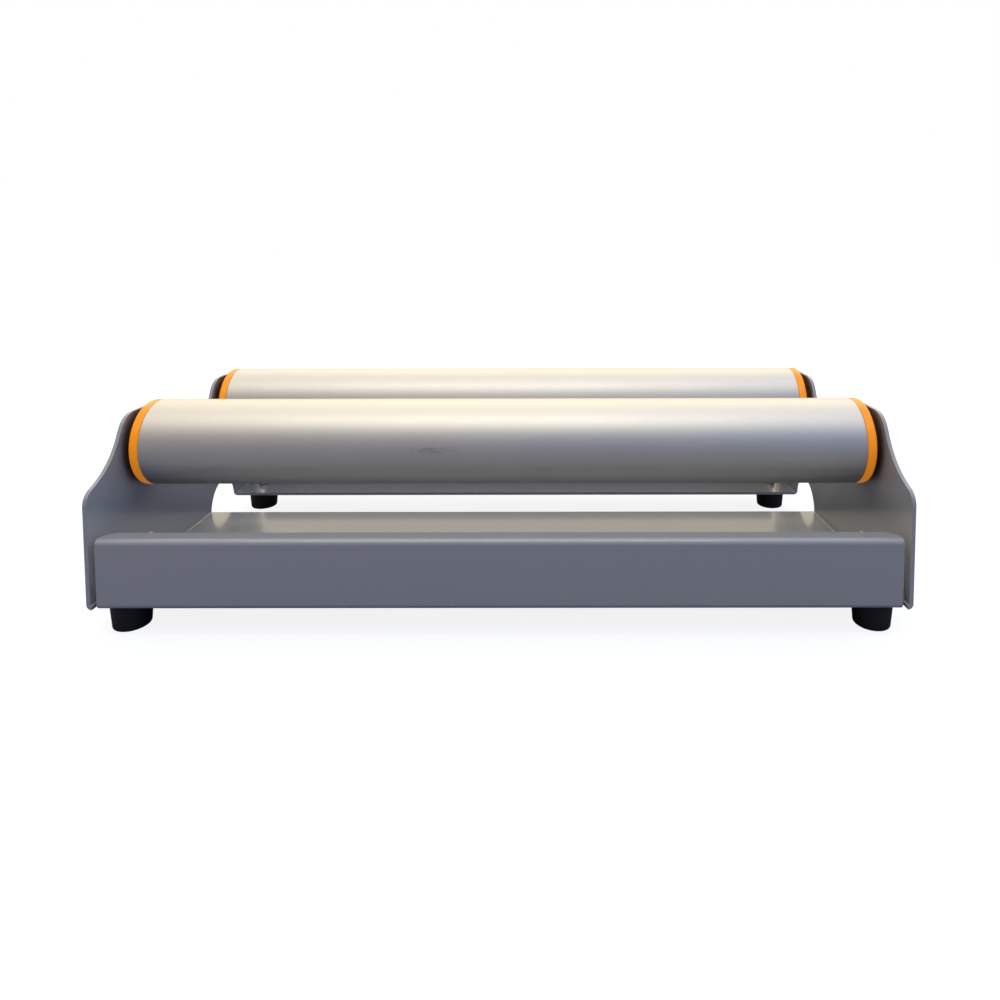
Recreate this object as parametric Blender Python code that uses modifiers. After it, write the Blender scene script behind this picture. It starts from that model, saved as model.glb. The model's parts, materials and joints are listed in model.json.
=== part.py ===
"""Two-roller cradle that carries rolls of sign vinyl.

A folded steel chassis holds two free-running aluminium rollers on fixed axles.
Metres.  X runs along the rollers, -Y is the front, +Z is up, the feet stand on Z = 0
and the origin is midway between the side plates and between the lips.
"""
import math

import bmesh
import bpy
from mathutils import Vector

MM = 0.001
GAP = 0.3 * MM

# Chassis, one folded sheet
WIDTH = 526 * MM
DEPTH = 264 * MM
SHEET = 2.5 * MM
BEND_OUTER = 3.5 * MM
BEND_MID = BEND_OUTER - SHEET / 2
BEND_STEPS = 3
LIP_HEIGHT = 45.5 * MM
LIP_RETURN = 12.6 * MM
LIP_HALF_WIDTH = 256.4 * MM
LIP_CORNER = 9.2 * MM
RELIEF_DEPTH = 4.6 * MM
FLOOR_SLOT_RADIUS = 24.2 * MM
FLOOR_SLOT_Y = 52.5 * MM

# Side plate outline, heights from the underside of the floor
SHOULDER_HEIGHT = 66.5 * MM
SHOULDER_RADIUS = 10.5 * MM
SHOULDER_SLOPE = 22
SHOULDER_RUN = 3 * MM
FLARE_RADIUS = 54 * MM
EAR_SLOPE = 61
EAR_RUN = 6.6 * MM
EAR_RADIUS = 17.5 * MM

# Rollers
ROLLER_SPACING = 130 * MM
AXIS_HEIGHT = 91 * MM
ROLLER_RADIUS = 30 * MM
TUBE_WALL = 2 * MM
TUBE_HALF = 249 * MM
CAP_FACE = 256.2 * MM
CAP_EDGE = 4.2 * MM
CAP_EDGE_STEPS = 3
SPIGOT_END = 229 * MM
SPIGOT_WALL = 3.4 * MM
HUB_FACE = 258.4 * MM
HUB_RADIUS = 11 * MM
SEAT_WALL = 4 * MM
CAP_WEB = 4 * MM

# Ball bearings
RACE_OUTER = 13 * MM
RACE_OUTER_BORE = 10.7 * MM
RACE_INNER = 7.4 * MM
BEARING_INBOARD = 240 * MM
BEARING_OUTBOARD = 248 * MM
BALL_RADIUS = 1.45 * MM
BALLS = 7
CAGE_THICK = 0.8 * MM
CAGE_WIDTH = 1.8 * MM
AROUND_BALL = 6

# Axles and their fastenings
AXLE_RADIUS = 5 * MM
SPACER_RADIUS = 7 * MM
AXLE_BORE_DEPTH = 16 * MM
AXLE_SCREW = {"head": 5.2 * MM, "height": 3.2 * MM, "shank": 2.8 * MM,
              "length": 16 * MM, "socket": 2.2 * MM}
WASHER_RADIUS = 7 * MM
WASHER_THICK = 1.2 * MM

# Feet and the smaller screws
FOOT_HEIGHT = 18.5 * MM
FOOT_TOP = 13.0 * MM
FOOT_BASE = 11.5 * MM
FOOT_EDGE = 1.6 * MM
FOOT_X = 245.1 * MM
FOOT_FRONT_Y = -113.5 * MM
FOOT_REAR_Y = 102 * MM
FOOT_RECESS = 6.2 * MM
FOOT_RECESS_DEPTH = 9 * MM
FOOT_SCREW = {"head": 4.6 * MM, "height": 2.8 * MM, "shank": 2.3 * MM,
              "length": 18 * MM, "socket": 1.8 * MM}
SIDE_SCREW = {"head": 4.6 * MM, "height": 2.6 * MM, "shank": 2.3 * MM,
              "length": 8.5 * MM, "socket": 1.7 * MM}
SIDE_SCREW_HEIGHT = 19 * MM
NUT_ACROSS_CORNERS = 4.6 * MM
NUT_THICK = 4 * MM

# The flat blank: where its bends start, and how much sheet each takes up
SIDE_LINE = WIDTH / 2 - BEND_OUTER
LIP_LINE = DEPTH / 2 - BEND_OUTER
BEND_ARC = BEND_MID * math.pi / 2
LIP_FLAT = LIP_HEIGHT - 2 * BEND_OUTER

# Heights above the surface that the feet stand on
FLOOR_Z = FOOT_HEIGHT + GAP
AXIS_Z = FLOOR_Z + AXIS_HEIGHT
PLATE_INNER = WIDTH / 2 - SHEET
AXLE_HALF = PLATE_INNER - GAP
ROLLER_Y = {"front": -ROLLER_SPACING / 2, "rear": ROLLER_SPACING / 2}
FOOT_Y = {"front": FOOT_FRONT_Y, "rear": FOOT_REAR_Y}
SIDES = {"left": -1, "right": 1}

AROUND_ROLLER = 48
AROUND_CAP = 28
AROUND_RING = 20
AROUND_SCREW = 12


# ---------------------------------------------------------------- materials

def finish(name, colour, roughness, metallic=0.0):
    """One Principled material."""
    material = bpy.data.materials.new(name)
    material.use_nodes = True
    shader = material.node_tree.nodes["Principled BSDF"]
    shader.inputs["Base Color"].default_value = (*colour, 1.0)
    shader.inputs["Roughness"].default_value = roughness
    shader.inputs["Metallic"].default_value = metallic
    material.diffuse_color = (*colour, 1.0)
    return material


def make_finishes():
    return {
        "powder_grey": finish("powder_grey", (0.19, 0.19, 0.21), 0.5),
        "satin_aluminium": finish("satin_aluminium", (0.72, 0.70, 0.67), 0.35, 1.0),
        "orange_plastic": finish("orange_plastic", (0.90, 0.29, 0.02), 0.3),
        "bearing_steel": finish("bearing_steel", (0.62, 0.62, 0.63), 0.2, 1.0),
        "zinc_steel": finish("zinc_steel", (0.60, 0.60, 0.58), 0.35, 1.0),
        "black_rubber": finish("black_rubber", (0.012, 0.012, 0.013), 0.7),
    }


# ------------------------------------------------------------ shared helpers

def link(collection, name, data):
    item = bpy.data.objects.new(name, data)
    collection.objects.link(item)
    return item


def cutter(name, radius, depth, segments, location, turn=(0, 0, 0)):
    """A hidden prism along its own Z, used only for cutting."""
    mesh = bpy.data.meshes.new(name)
    shape = bmesh.new()
    bmesh.ops.create_cone(shape, cap_ends=True, segments=segments,
                          radius1=radius, radius2=radius, depth=depth)
    shape.to_mesh(mesh)
    shape.free()
    item = link(CUTTERS, name, mesh)
    item.location = location
    item.rotation_euler = turn
    item.hide_render = True
    item.display_type = "WIRE"
    return item


def boolean(item, tool, operation="DIFFERENCE"):
    step = item.modifiers.new(tool.name, "BOOLEAN")
    step.operation = operation
    step.object = tool
    step.solver = "EXACT"


def turn_profile(item, steps):
    """Sweep the object's profile right round its own Z."""
    sweep = item.modifiers.new("turn", "SCREW")
    sweep.steps = steps
    sweep.render_steps = steps
    sweep.use_merge_vertices = True
    sweep.merge_threshold = 0.00001


def profile_object(name, points, closed):
    """Points are (radius, height), down the outer side first."""
    mesh = bpy.data.meshes.new(name)
    edges = [(i, i + 1) for i in range(len(points) - 1)]
    if closed:
        edges.append((len(points) - 1, 0))
    mesh.from_pydata([(radius, 0, height) for radius, height in points], edges, [])
    return link(WORKBENCH, name, mesh)


def finished_mesh(item):
    """The object's shape with its modifiers applied; the object itself is removed."""
    bpy.context.view_layer.update()
    graph = bpy.context.evaluated_depsgraph_get()
    mesh = bpy.data.meshes.new_from_object(item.evaluated_get(graph))
    mesh.name = item.name
    mesh.materials.clear()
    mesh.shade_smooth()
    mesh.set_sharp_from_angle(angle=math.radians(32))
    bpy.data.objects.remove(item)
    return mesh


def turned(name, points, steps, closed=True):
    item = profile_object(name, points, closed)
    turn_profile(item, steps)
    return finished_mesh(item)


def ring_section(inner, outer, low, high):
    return [(outer, high), (outer, low), (inner, low), (inner, high)]


def place(name, mesh, material, location=(0, 0, 0), turn=(0, 0, 0)):
    if not mesh.materials:
        mesh.materials.append(material)
    item = link(CRADLE, name, mesh)
    item.location = location
    item.rotation_euler = turn
    return item


def outward(side):
    """The turn that points a piece's own +Z out through the side plate."""
    return (0, side * math.pi / 2, 0)


# ------------------------------------------------------------------ chassis

def trace(start, heading, moves):
    """Follow straight runs (length, 0) and arcs (radius, turn in degrees)."""
    place_now = Vector(start)
    heading = math.radians(heading)
    points = [place_now.copy()]
    for size, turn in moves:
        if turn == 0:
            place_now += size * Vector((math.cos(heading), math.sin(heading)))
            points.append(place_now.copy())
            continue
        steps = max(2, round(abs(turn) / 13))
        step = math.radians(turn) / steps
        chord = 2 * size * math.sin(abs(step) / 2)
        for _ in range(steps):
            heading += step / 2
            place_now += chord * Vector((math.cos(heading), math.sin(heading)))
            heading += step / 2
            points.append(place_now.copy())
    return points


def plate_outline():
    """Front half of a side plate's free edge, (y, height), up to its mid-saddle."""
    climb = [(SHOULDER_RADIUS, SHOULDER_SLOPE - 90), (SHOULDER_RUN, 0),
             (FLARE_RADIUS, EAR_SLOPE - SHOULDER_SLOPE), (EAR_RUN, 0),
             (EAR_RADIUS, -EAR_SLOPE)]
    start = (-DEPTH / 2, SHOULDER_HEIGHT)
    rising = trace(start, 90, climb)
    ear_top = 2 * (ROLLER_Y["front"] - rising[-1].x)
    fall = climb + [(ear_top, 0), (EAR_RADIUS, -EAR_SLOPE), (EAR_RUN, 0)]
    ear_foot = trace(start, 90, fall)[-1]
    saddle_radius = -ear_foot.x / math.sin(math.radians(EAR_SLOPE))
    return trace(start, 90, fall + [(saddle_radius, EAR_SLOPE)])


def quarter_blank():
    """A quarter of the flat sheet in two faces, (across, along), before folding."""
    lip_end = LIP_LINE + 2 * BEND_ARC + LIP_FLAT + LIP_RETURN - BEND_OUTER
    relief_start = (LIP_HALF_WIDTH, RELIEF_DEPTH - DEPTH / 2)
    floor_and_lip = [Vector((0, 0)), Vector((0, -lip_end))]
    floor_and_lip += trace((LIP_HALF_WIDTH - LIP_CORNER, -lip_end), 0, [(LIP_CORNER, 90)])
    relief_radius = (SIDE_LINE - LIP_HALF_WIDTH) / 2
    relief_top = [(relief_radius, -90), (relief_radius, 0)]
    floor_and_lip += trace(relief_start, 90, relief_top)
    crease = [floor_and_lip[-1].copy(), Vector((SIDE_LINE, 0))]
    floor_and_lip.append(crease[1])
    unfold = SIDE_LINE + BEND_ARC - BEND_OUTER
    wing = [crease[0], Vector((SIDE_LINE, -DEPTH / 2))]
    wing += [Vector((unfold + height, y)) for y, height in plate_outline()]
    wing[-1].y = 0
    wing.append(crease[1])
    return floor_and_lip, wing


def fold_up(past):
    """(out, up) of a point that lies this far past a bend's first edge."""
    if past < BEND_ARC:
        angle = past / BEND_MID
        return BEND_MID * math.sin(angle), BEND_MID * (1 - math.cos(angle))
    return BEND_MID, BEND_MID + past - BEND_ARC


def fold_lip(past):
    """As fold_up, with the lip's return folded back in at the top."""
    out, up = fold_up(past)
    top_bend = BEND_MID + LIP_FLAT
    if up <= top_bend:
        return out, up
    out, up = fold_up(up - top_bend)
    return BEND_MID - up, top_bend + out


def crease(sheet, line, direction):
    """Cut new edges across the flat sheet at each step of one bend."""
    for step in range(BEND_STEPS + 1):
        spot = Vector(direction) * (line + BEND_ARC * step / BEND_STEPS)
        everything = sheet.verts[:] + sheet.edges[:] + sheet.faces[:]
        bmesh.ops.bisect_plane(sheet, geom=everything, dist=1e-7,
                               plane_co=spot, plane_no=direction)


def folded_sheet():
    """A quarter of the chassis's middle surface, creased and folded."""
    floor_and_lip, wing = quarter_blank()
    middle = FLOOR_Z + SHEET / 2
    sheet = bmesh.new()
    sheet.faces.new([sheet.verts.new((*point, 0)) for point in floor_and_lip])
    crease(sheet, LIP_LINE, (0, -1, 0))
    crease(sheet, LIP_LINE + BEND_ARC + LIP_FLAT, (0, -1, 0))
    for vert in sheet.verts:
        out, up = 0, 0
        if vert.co.y < -LIP_LINE:
            out, up = fold_lip(-LIP_LINE - vert.co.y)
            vert.co.y = -LIP_LINE - out
        vert.co.z = middle + up
    side = bmesh.new()
    side.faces.new([side.verts.new((*point, 0)) for point in wing])
    crease(side, SIDE_LINE, (1, 0, 0))
    for vert in side.verts:
        out, up = fold_up(max(0, vert.co.x - SIDE_LINE))
        vert.co.x = SIDE_LINE + out
        vert.co.z = middle + up
    mesh = bpy.data.meshes.new("chassis")
    side.to_mesh(mesh)
    side.free()
    sheet.from_mesh(mesh)
    bmesh.ops.remove_doubles(sheet, verts=sheet.verts[:], dist=0.00001)
    sheet.to_mesh(mesh)
    sheet.free()
    return mesh


def chassis_holes():
    """Cutters for the floor slot and for every screw hole."""
    across = (0, math.pi / 2, 0)
    tools = [cutter("floor_slot", FLOOR_SLOT_RADIUS, 2 * WIDTH, 40,
                    (0, FLOOR_SLOT_Y, FLOOR_Z), across)]
    for row, y in ROLLER_Y.items():
        tools.append(cutter("axle_hole_" + row, AXLE_SCREW["shank"] + 2 * GAP, 2 * WIDTH,
                            AROUND_SCREW, (0, y, AXIS_Z), across))
    tools.append(cutter("side_hole", SIDE_SCREW["shank"] + 2 * GAP, 2 * WIDTH, AROUND_SCREW,
                        (0, ROLLER_Y["front"], FLOOR_Z + SIDE_SCREW_HEIGHT), across))
    for row, y in FOOT_Y.items():
        for label, side in SIDES.items():
            tools.append(cutter("foot_hole_" + row + label, FOOT_SCREW["shank"] + 2 * GAP,
                                4 * SHEET, AROUND_SCREW, (side * FOOT_X, y, FLOOR_Z)))
    return tools


def make_chassis(finishes):
    item = link(WORKBENCH, "chassis", folded_sheet())
    mirror = item.modifiers.new("halves", "MIRROR")
    mirror.use_axis = (True, True, False)
    mirror.merge_threshold = 0.00001
    thick = item.modifiers.new("sheet", "SOLIDIFY")
    thick.thickness = SHEET
    thick.offset = 0
    thick.use_even_offset = True
    for tool in chassis_holes():
        boolean(item, tool)
    place("chassis", finished_mesh(item), finishes["powder_grey"])


# ------------------------------------------------------------------ rollers

def cap_section():
    """Half-section of an end cap, heights along the roller from its middle."""
    edge_centre = (ROLLER_RADIUS - CAP_EDGE, CAP_FACE - CAP_EDGE)
    rim = []
    for step in range(CAP_EDGE_STEPS + 1):
        angle = math.pi / 2 * (1 - step / CAP_EDGE_STEPS)
        rim.append((edge_centre[0] + CAP_EDGE * math.cos(angle),
                    edge_centre[1] + CAP_EDGE * math.sin(angle)))
    spigot = ROLLER_RADIUS - TUBE_WALL - GAP
    shoulder = TUBE_HALF + GAP
    seat = RACE_OUTER + GAP
    web = BEARING_OUTBOARD + GAP
    hub_bore = SPACER_RADIUS + 4 * GAP
    hub = [(HUB_RADIUS, HUB_FACE), (HUB_RADIUS, CAP_FACE)]
    skirt = [(ROLLER_RADIUS, shoulder), (spigot, shoulder), (spigot, SPIGOT_END),
             (spigot - SPIGOT_WALL, SPIGOT_END), (spigot - SPIGOT_WALL, CAP_FACE - CAP_WEB),
             (seat + SEAT_WALL, CAP_FACE - CAP_WEB), (seat + SEAT_WALL, SPIGOT_END)]
    bore = [(seat, SPIGOT_END), (seat, web), (hub_bore, web), (hub_bore, HUB_FACE)]
    return hub + rim + skirt + bore


def ball_ring():
    """The balls of one bearing, joined by their cage."""
    pitch = (RACE_INNER + RACE_OUTER_BORE) / 2
    item = profile_object("ball_ring", ring_section(
        pitch - CAGE_THICK / 2, pitch + CAGE_THICK / 2, -CAGE_WIDTH / 2, CAGE_WIDTH / 2), True)
    turn_profile(item, 2 * BALLS)
    for index in range(BALLS):
        angle = 2 * math.pi * (index + 0.5) / BALLS
        mesh = bpy.data.meshes.new("ball")
        ball = bmesh.new()
        bmesh.ops.create_uvsphere(ball, u_segments=AROUND_BALL, v_segments=4, radius=BALL_RADIUS)
        ball.to_mesh(mesh)
        ball.free()
        tool = link(CUTTERS, "ball_%d" % index, mesh)
        tool.location = (pitch * math.cos(angle), pitch * math.sin(angle), 0)
        tool.hide_render = True
        tool.display_type = "WIRE"
        boolean(item, tool, "UNION")
    return finished_mesh(item)


def make_rollers(finishes):
    tube = turned("tube", ring_section(ROLLER_RADIUS - TUBE_WALL, ROLLER_RADIUS,
                                       -TUBE_HALF, TUBE_HALF), AROUND_ROLLER)
    cap = turned("cap", cap_section(), AROUND_CAP)
    outer = turned("race_outer", ring_section(RACE_OUTER_BORE, RACE_OUTER,
                                              BEARING_INBOARD, BEARING_OUTBOARD), AROUND_RING)
    inner = turned("race_inner", ring_section(AXLE_RADIUS + GAP, RACE_INNER,
                                              BEARING_INBOARD, BEARING_OUTBOARD), AROUND_RING)
    balls = ball_ring()
    bearing_middle = (BEARING_INBOARD + BEARING_OUTBOARD) / 2
    steel = finishes["bearing_steel"]
    for row, y in ROLLER_Y.items():
        centre = (0, y, AXIS_Z)
        place(row + "_roller_tube", tube, finishes["satin_aluminium"], centre, outward(1))
        for label, side in SIDES.items():
            turn = outward(side)
            tail = "%s_%s" % (row, label)
            place("end_cap_" + tail, cap, finishes["orange_plastic"], centre, turn)
            place("bearing_outer_race_" + tail, outer, steel, centre, turn)
            place("bearing_inner_race_" + tail, inner, steel, centre, turn)
            place("bearing_balls_" + tail, balls, steel,
                  (side * bearing_middle, y, AXIS_Z), turn)


# ----------------------------------------------------- screws, nuts, washers

def button_screw(name, sizes):
    """Domed socket screw; the underside of its head is at Z = 0."""
    head, height = sizes["head"], sizes["height"]
    shank, length = sizes["shank"], sizes["length"]
    flat = head * 0.55
    points = [(0, height)]
    for step in range(4):
        angle = math.pi / 2 * (1 - step / 3)
        points.append((flat + (head - flat) * math.cos(angle), height * math.sin(angle)))
    points += [(shank, 0), (shank, -length), (0, -length)]
    item = profile_object(name, points, False)
    turn_profile(item, AROUND_SCREW)
    boolean(item, cutter(name + "_socket", sizes["socket"], height * 1.2, 6, (0, 0, height)))
    return finished_mesh(item)


def hex_nut(name, corners, thick, bore):
    """Nut whose inner face is at Z = 0."""
    mesh = bpy.data.meshes.new(name)
    shape = bmesh.new()
    bmesh.ops.create_cone(shape, cap_ends=True, segments=6, radius1=corners,
                          radius2=corners, depth=thick)
    bmesh.ops.translate(shape, verts=shape.verts[:], vec=(0, 0, thick / 2))
    shape.to_mesh(mesh)
    shape.free()
    item = link(WORKBENCH, name, mesh)
    boolean(item, cutter(name + "_bore", bore, 4 * thick, AROUND_SCREW, (0, 0, 0)))
    return finished_mesh(item)


# -------------------------------------------------------------------- axles

def axle_section():
    """Axle with a threaded bore up each end, top half then bottom half."""
    bore = AXLE_SCREW["shank"] + GAP
    bottom = AXLE_HALF - AXLE_BORE_DEPTH
    return [(0, bottom), (bore, bottom), (bore, AXLE_HALF), (AXLE_RADIUS, AXLE_HALF),
            (AXLE_RADIUS, -AXLE_HALF), (bore, -AXLE_HALF), (bore, -bottom), (0, -bottom)]


def make_axles(finishes):
    axle = turned("axle", axle_section(), AROUND_RING, closed=False)
    spacer = turned("spacer", ring_section(AXLE_RADIUS + GAP, SPACER_RADIUS,
                                           BEARING_OUTBOARD + GAP, AXLE_HALF), AROUND_RING)
    washer = turned("washer", ring_section(AXLE_SCREW["shank"] + GAP, WASHER_RADIUS,
                                           0, WASHER_THICK), AROUND_RING)
    screw = button_screw("axle_screw", AXLE_SCREW)
    steel = finishes["zinc_steel"]
    washer_seat = WIDTH / 2 + GAP
    screw_seat = washer_seat + WASHER_THICK + GAP
    for row, y in ROLLER_Y.items():
        place(row + "_axle", axle, steel, (0, y, AXIS_Z), outward(1))
        for label, side in SIDES.items():
            turn = outward(side)
            tail = "%s_%s" % (row, label)
            place("axle_spacer_" + tail, spacer, steel, (0, y, AXIS_Z), turn)
            place("axle_washer_" + tail, washer, steel,
                  (side * washer_seat, y, AXIS_Z), turn)
            place("axle_screw_" + tail, screw, steel, (side * screw_seat, y, AXIS_Z), turn)


# --------------------------------------------------------------------- feet

def foot_section():
    """Half-section of a tapered rubber foot with a screw recess below."""
    bore = FOOT_SCREW["shank"] + GAP
    return [(FOOT_TOP, FOOT_HEIGHT), (FOOT_BASE, FOOT_EDGE),
            (FOOT_BASE - 0.3 * FOOT_EDGE, 0.3 * FOOT_EDGE), (FOOT_BASE - FOOT_EDGE, 0),
            (FOOT_RECESS, 0), (FOOT_RECESS, FOOT_RECESS_DEPTH),
            (bore, FOOT_RECESS_DEPTH), (bore, FOOT_HEIGHT)]


def make_feet(finishes):
    foot = turned("foot", foot_section(), AROUND_RING)
    screw = button_screw("foot_screw", FOOT_SCREW)
    nut = hex_nut("foot_nut", NUT_ACROSS_CORNERS, NUT_THICK, FOOT_SCREW["shank"] + GAP)
    for row, y in FOOT_Y.items():
        for label, side in SIDES.items():
            tail = "%s_%s" % (row, label)
            x = side * FOOT_X
            place("foot_" + tail, foot, finishes["black_rubber"], (x, y, 0))
            place("foot_screw_" + tail, screw, finishes["zinc_steel"],
                  (x, y, FOOT_RECESS_DEPTH - GAP), (math.pi, 0, 0))
            place("foot_nut_" + tail, nut, finishes["zinc_steel"],
                  (x, y, FLOOR_Z + SHEET + GAP))


def make_side_screws(finishes):
    """One domed screw through each side plate below the front roller, nut outside."""
    screw = button_screw("side_screw", SIDE_SCREW)
    nut = hex_nut("side_nut", NUT_ACROSS_CORNERS, NUT_THICK, SIDE_SCREW["shank"] + GAP)
    height = FLOOR_Z + SIDE_SCREW_HEIGHT
    for label, side in SIDES.items():
        place("side_screw_" + label, screw, finishes["zinc_steel"],
              (side * (PLATE_INNER - GAP), ROLLER_Y["front"], height), outward(-side))
        place("side_nut_" + label, nut, finishes["zinc_steel"],
              (side * (WIDTH / 2 + GAP), ROLLER_Y["front"], height), outward(side))


# ----------------------------------------------------------------- assembly

for old in list(bpy.data.objects):
    bpy.data.objects.remove(old)

CRADLE = bpy.data.collections.new("roller_cradle")
CUTTERS = bpy.data.collections.new("cutters")
WORKBENCH = bpy.data.collections.new("workbench")
for shelf in (CRADLE, CUTTERS, WORKBENCH):
    bpy.context.scene.collection.children.link(shelf)

FINISHES = make_finishes()
make_chassis(FINISHES)
make_rollers(FINISHES)
make_axles(FINISHES)
make_feet(FINISHES)
make_side_screws(FINISHES)
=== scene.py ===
"""Finish of a two-roller cradle for rolls of sign vinyl.

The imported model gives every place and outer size.  Here each visible piece is made
again with fine folds, rounded edges and threads, and gets its paint, metal or rubber.
Metres, X along the rollers, -Y the front, +Z up, the feet stand on Z = 0.
"""
import json
import math

import bmesh
import bpy
from mathutils import Matrix, Vector

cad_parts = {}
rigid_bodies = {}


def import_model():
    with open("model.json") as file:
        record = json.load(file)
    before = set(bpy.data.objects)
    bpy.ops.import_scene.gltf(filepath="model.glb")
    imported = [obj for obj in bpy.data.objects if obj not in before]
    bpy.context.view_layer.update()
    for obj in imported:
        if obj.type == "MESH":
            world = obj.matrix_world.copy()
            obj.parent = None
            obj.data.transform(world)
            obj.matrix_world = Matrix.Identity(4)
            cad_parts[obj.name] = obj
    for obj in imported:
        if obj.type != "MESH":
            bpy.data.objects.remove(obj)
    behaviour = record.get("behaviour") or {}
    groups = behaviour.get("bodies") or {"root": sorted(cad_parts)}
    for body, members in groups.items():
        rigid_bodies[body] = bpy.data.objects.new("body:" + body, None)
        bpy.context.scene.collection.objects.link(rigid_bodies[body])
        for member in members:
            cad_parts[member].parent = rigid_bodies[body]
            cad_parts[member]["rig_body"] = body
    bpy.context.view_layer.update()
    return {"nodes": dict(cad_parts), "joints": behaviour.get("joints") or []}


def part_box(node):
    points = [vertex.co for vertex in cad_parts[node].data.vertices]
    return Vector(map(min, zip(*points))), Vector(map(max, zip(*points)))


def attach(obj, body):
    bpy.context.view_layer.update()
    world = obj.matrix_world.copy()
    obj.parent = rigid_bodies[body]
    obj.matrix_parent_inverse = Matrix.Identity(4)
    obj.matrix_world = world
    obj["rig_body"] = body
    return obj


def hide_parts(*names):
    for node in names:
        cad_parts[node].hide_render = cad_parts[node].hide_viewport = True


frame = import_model()

MM = 0.001
GAP = 0.3 * MM

# Folded sheet
SHEET = 2.5 * MM
BEND_OUTER = 3.5 * MM
BEND_STEPS = 8
LIP_HEIGHT = 45.5 * MM
LIP_RETURN = 12.6 * MM
LIP_HALF_WIDTH = 256.4 * MM
LIP_CORNER = 9.2 * MM
RELIEF_DEPTH = 4.6 * MM
FLOOR_SLOT_RADIUS = 24.2 * MM
FLOOR_SLOT_Y = 52.5 * MM
PAINTED_EDGE = 0.4 * MM
ARC_STEP = 4

# Side plate outline: height from the underside of the floor, then arcs and straights
SHOULDER_HEIGHT = 66.5 * MM
SHOULDER_RADIUS = 10.5 * MM
SHOULDER_SLOPE = 22
SHOULDER_RUN = 3 * MM
FLARE_RADIUS = 54 * MM
EAR_SLOPE = 61
EAR_RUN = 6.6 * MM
EAR_RADIUS = 17.5 * MM

# Rollers
TUBE_WALL = 2 * MM
TUBE_EDGE = 0.5 * MM
CAP_FACE = 256.2 * MM
CAP_RIM = 4.2 * MM
CAP_WALL = 3.4 * MM
CAP_WEB = 4 * MM
HUB_RADIUS = 11 * MM
SEAT_RADIUS = 13.3 * MM
SEAT_WALL = 4 * MM
SEAT_END = 248.3 * MM

# Screws, nuts and washers
AXLE_SCREW = {"head": 5.2 * MM, "height": 3.2 * MM, "shank": 2.8 * MM,
              "length": 16 * MM, "socket": 2.2 * MM}
FOOT_SCREW = {"head": 4.6 * MM, "height": 2.8 * MM, "shank": 2.3 * MM,
              "length": 18 * MM, "socket": 1.8 * MM}
SIDE_SCREW = {"head": 4.6 * MM, "height": 2.6 * MM, "shank": 2.3 * MM,
              "length": 8.5 * MM, "socket": 1.7 * MM}
SIDE_SCREW_HEIGHT = 19 * MM
THREAD_PITCH = 0.8 * MM
THREAD_DEPTH = 0.3 * MM
NUT_CORNERS = 4.6 * MM
NUT_THICK = 4 * MM
NUT_BORE = 2.6 * MM
WASHER_BORE = 3.1 * MM
SPACER_BORE = 5.3 * MM
METAL_EDGE = 0.25 * MM
DOME_STEPS = 8
DOME_SHARE = 0.94
DOME_FLAT = 0.55
SOCKET_DEPTH = 1.2
NUT_FLAT = 0.97
NUT_SLOPE = 0.6
# One ridge of a thread: share of the pitch, and depth there
RIDGE = ((0.15, 0), (0.5, THREAD_DEPTH), (0.85, 0))

# Colours of paint, metal, plastic and rubber, and of painted shade and glow
SLATE_PAINT = (0.375, 0.395, 0.45, 1)
# Painted shade, nearly black, for narrow gaps and inside corners
PAINTED_GAP_SHADE = (0.028, 0.024, 0.022, 1)
THIN_PAINT = (0.52, 0.51, 0.5, 1)
PALE_DUST = (0.5, 0.48, 0.45, 1)
SATIN_METAL = (0.79, 0.77, 0.74, 1)
METAL_SCRATCH = (0.42, 0.42, 0.43, 1)
METAL_SCUFF = (0.3, 0.3, 0.31, 1)
TUBE_SHADE = (0.1, 0.105, 0.12, 1)
ORANGE = (1.0, 0.33, 0.008, 1)
RUBBED_ORANGE = (1.0, 0.5, 0.06, 1)
# Colour of the painted glow on the caps
PAINTED_GLOW_ORANGE = (1.0, 0.3, 0.006, 1)
ZINC_PLATE = (0.66, 0.67, 0.68, 1)
BRIGHT_ZINC = (0.85, 0.85, 0.84, 1)
BEARING_STEEL = (0.62, 0.62, 0.63, 1)
RUBBER_BLACK = (0.008, 0.008, 0.009, 1)
RUBBER_SCUFF = (0.06, 0.06, 0.06, 1)

# Light added to the orange caps for the camera only
PAINTED_CAP_GLOW = 0.36

# Shade painted under the tubes: how far the mask looks, and how much it darkens
TUBE_SHADE_REACH = 0.14
TUBE_SHADE_DEPTH = 0.75

# Where the tubes are scuffed, from the middle of the tube
TUBE_SCUFF = (-0.0016, -0.03, -0.046)
TUBE_SCUFF_REACH = (0.004, 0.02, 0.026)

# Feet
FOOT_BASE = 11.5 * MM
FOOT_EDGE = 1.8 * MM
FOOT_RECESS = 6.2 * MM
FOOT_RECESS_DEPTH = 9 * MM

ROWS = ("front", "rear")
SIDES = {"left": -1, "right": 1}
CORNERS = [(row, label) for row in ROWS for label in SIDES]
AROUND_ROLLER = 128
AROUND_CAP = 96
AROUND_FOOT = 72
AROUND_SMALL = 48
BELOW = Vector((0, 0, -1))
ABOVE = Vector((0, 0, 1))


# ------------------------------------------------------- places from the frame

def box_face(node, direction):
    """Middle of the face of a node's box that looks this way."""
    low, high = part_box(node)
    return Vector([(a + b) / 2 + d * (b - a) / 2 for a, b, d in zip(low, high, direction)])


def box_size(node):
    low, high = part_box(node)
    return high - low


def outward(side):
    """Direction out through that side plate."""
    return Vector((side, 0, 0))


SHEET_LOW, SHEET_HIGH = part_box("chassis")
HALF_WIDTH = SHEET_HIGH.x
HALF_DEPTH = SHEET_HIGH.y
FLOOR_Z = SHEET_LOW.z
AXIS = {joint["child"].split("_")[0]: Vector(joint["pos_m"]) for joint in frame["joints"]}
ROLLER_RADIUS = box_size("front_roller_tube").z / 2
TUBE_LENGTH = box_size("front_roller_tube").x
FOOT_HEIGHT = box_size("foot_front_left").z
FOOT_TOP = box_size("foot_front_left").x / 2

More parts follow.
